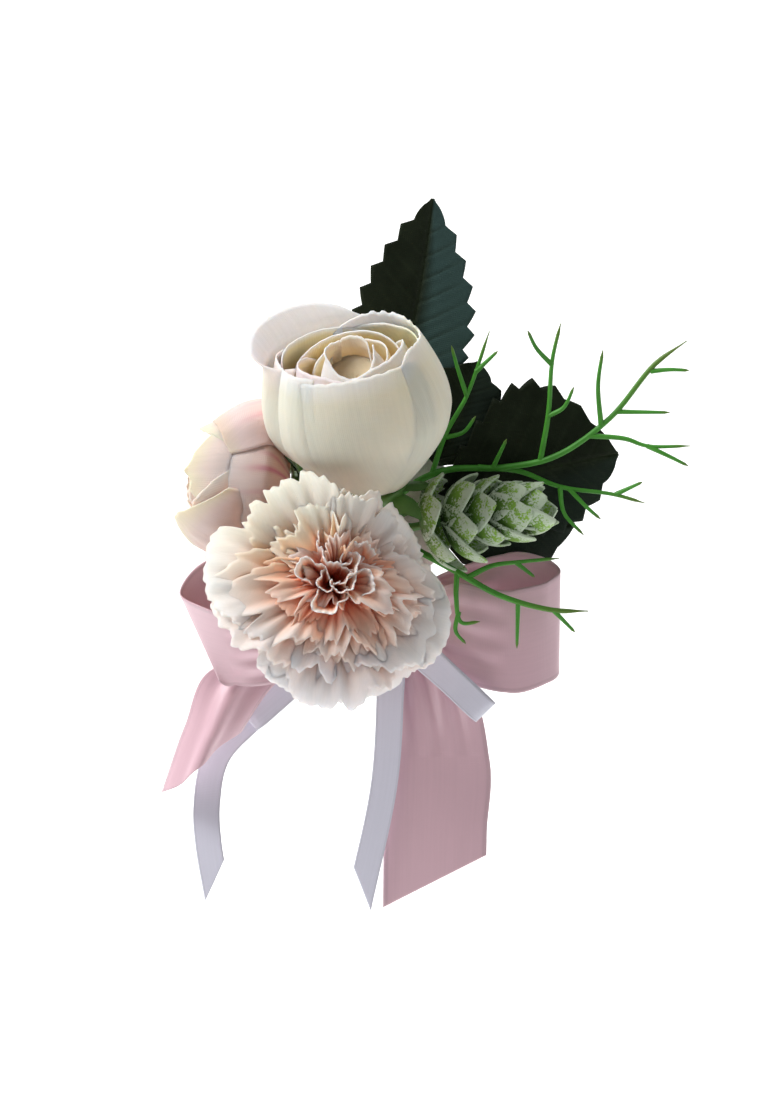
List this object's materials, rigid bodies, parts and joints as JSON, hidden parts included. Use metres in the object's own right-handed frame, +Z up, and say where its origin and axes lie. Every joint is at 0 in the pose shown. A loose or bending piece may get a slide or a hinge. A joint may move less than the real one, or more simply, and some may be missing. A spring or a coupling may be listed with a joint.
{
  "type": "pin-on corsage",
  "caption": "Pin-on corsage of a rose bud, carnation and bud with leaves, hop cone, fern and ribbon bows on a taped stem, with a hinged brooch pin and turning catch behind.",
  "frame": {"origin": "centre of the back face of the brooch bar, which lies against the garment", "axes": "+Z up as worn, +Y out of the bar's back towards the wearer, +X to the right seen from the front"},
  "size_m": [0.1257, 0.0644, 0.1728],
  "materials": {
    "nickel_steel": "nickel-plated, softly polished",
    "felt": "matt white felt",
    "florist_tape": "waxed crepe paper, matt",
    "green_stem": "matt green plastic over wire",
    "green_calyx": "matt green plastic",
    "ivory_petal": "stiffened cloth, matt",
    "peach_petal": "stiffened cloth, matt",
    "blush_petal": "stiffened cloth, matt",
    "coral_petal": "stiffened cloth, matt",
    "pale_petal": "stiffened cloth, matt",
    "dark_leaf": "stiffened cloth with a soft sheen",
    "frosted_hop": "matt plastic with white frosting",
    "fern_plastic": "moulded plastic, slight sheen",
    "pink_satin": "satin weave, glossy",
    "lilac_ribbon": "satin weave, soft gloss"
  },
  "bodies": {
    "corsage": {"brooch_bar": "nickel_steel", "hinge_rivet": "nickel_steel", "felt_pad": "felt", "tape_wrap": "florist_tape", "rose_stem": "green_stem", "bud_stem": "green_stem", "carnation_stem": "green_stem", "hop_stem": "green_stem", "leaf_stalk_upper": "green_stem", "leaf_stalk_side": "green_stem", "rose_calyx": "green_calyx", "bud_calyx": "green_calyx", "carnation_calyx": "green_calyx", "rose_outer_petal_1": "ivory_petal", "rose_outer_petal_2": "ivory_petal", "rose_outer_petal_3": "ivory_petal", "rose_outer_petal_4": "ivory_petal", "rose_outer_petal_5": "ivory_petal", "rose_middle_petal_1": "ivory_petal", "rose_middle_petal_2": "ivory_petal", "rose_middle_petal_3": "ivory_petal", "rose_inner_petal_1": "peach_petal", "rose_inner_petal_2": "peach_petal", "rose_core": "peach_petal", "bud_outer_petal_1": "blush_petal", "bud_outer_petal_2": "blush_petal", "bud_outer_petal_3": "blush_petal", "bud_outer_petal_4": "blush_petal", "bud_inner_petal_1": "blush_petal", "bud_inner_petal_2": "blush_petal", "bud_core": "blush_petal", "carnation_ruffle_1": "coral_petal", "carnation_ruffle_2": "coral_petal", "carnation_ruffle_3": "coral_petal", "carnation_ruffle_4": "pale_petal", "carnation_ruffle_5": "pale_petal", "leaf_top": "dark_leaf", "leaf_back": "dark_leaf", "leaf_right": "dark_leaf", "leaf_lower": "dark_leaf", "hop_whorl_1": "frosted_hop", "hop_whorl_2": "frosted_hop", "hop_whorl_3": "frosted_hop", "hop_whorl_4": "frosted_hop", "hop_whorl_5": "frosted_hop", "fern_upper": "fern_plastic", "fern_lower": "fern_plastic", "satin_gather": "pink_satin", "satin_loop_left": "pink_satin", "satin_loop_right": "pink_satin", "satin_tail_left": "pink_satin", "satin_tail_right": "pink_satin", "lilac_knot": "lilac_ribbon", "lilac_tail_right": "lilac_ribbon", "lilac_loop_right": "lilac_ribbon", "lilac_loop_left": "lilac_ribbon", "lilac_tail_left": "lilac_ribbon"},
    "pin": {"pin_stem": "nickel_steel"},
    "catch": {"catch_roller": "nickel_steel"}
  },
  "joints": [
    {"name": "pin_hinge", "type": "hinge", "parent": "corsage", "child": "pin", "pos_m": [-0.013, 0.0048, 0], "axis": [0, 0, 1], "range_deg": [0, 80]},
    {"name": "catch_turn", "type": "hinge", "parent": "corsage", "child": "catch", "pos_m": [0.012, 0.0048, 0], "axis": [-1, 0, 0], "range_deg": [0, 84]}
  ]
}
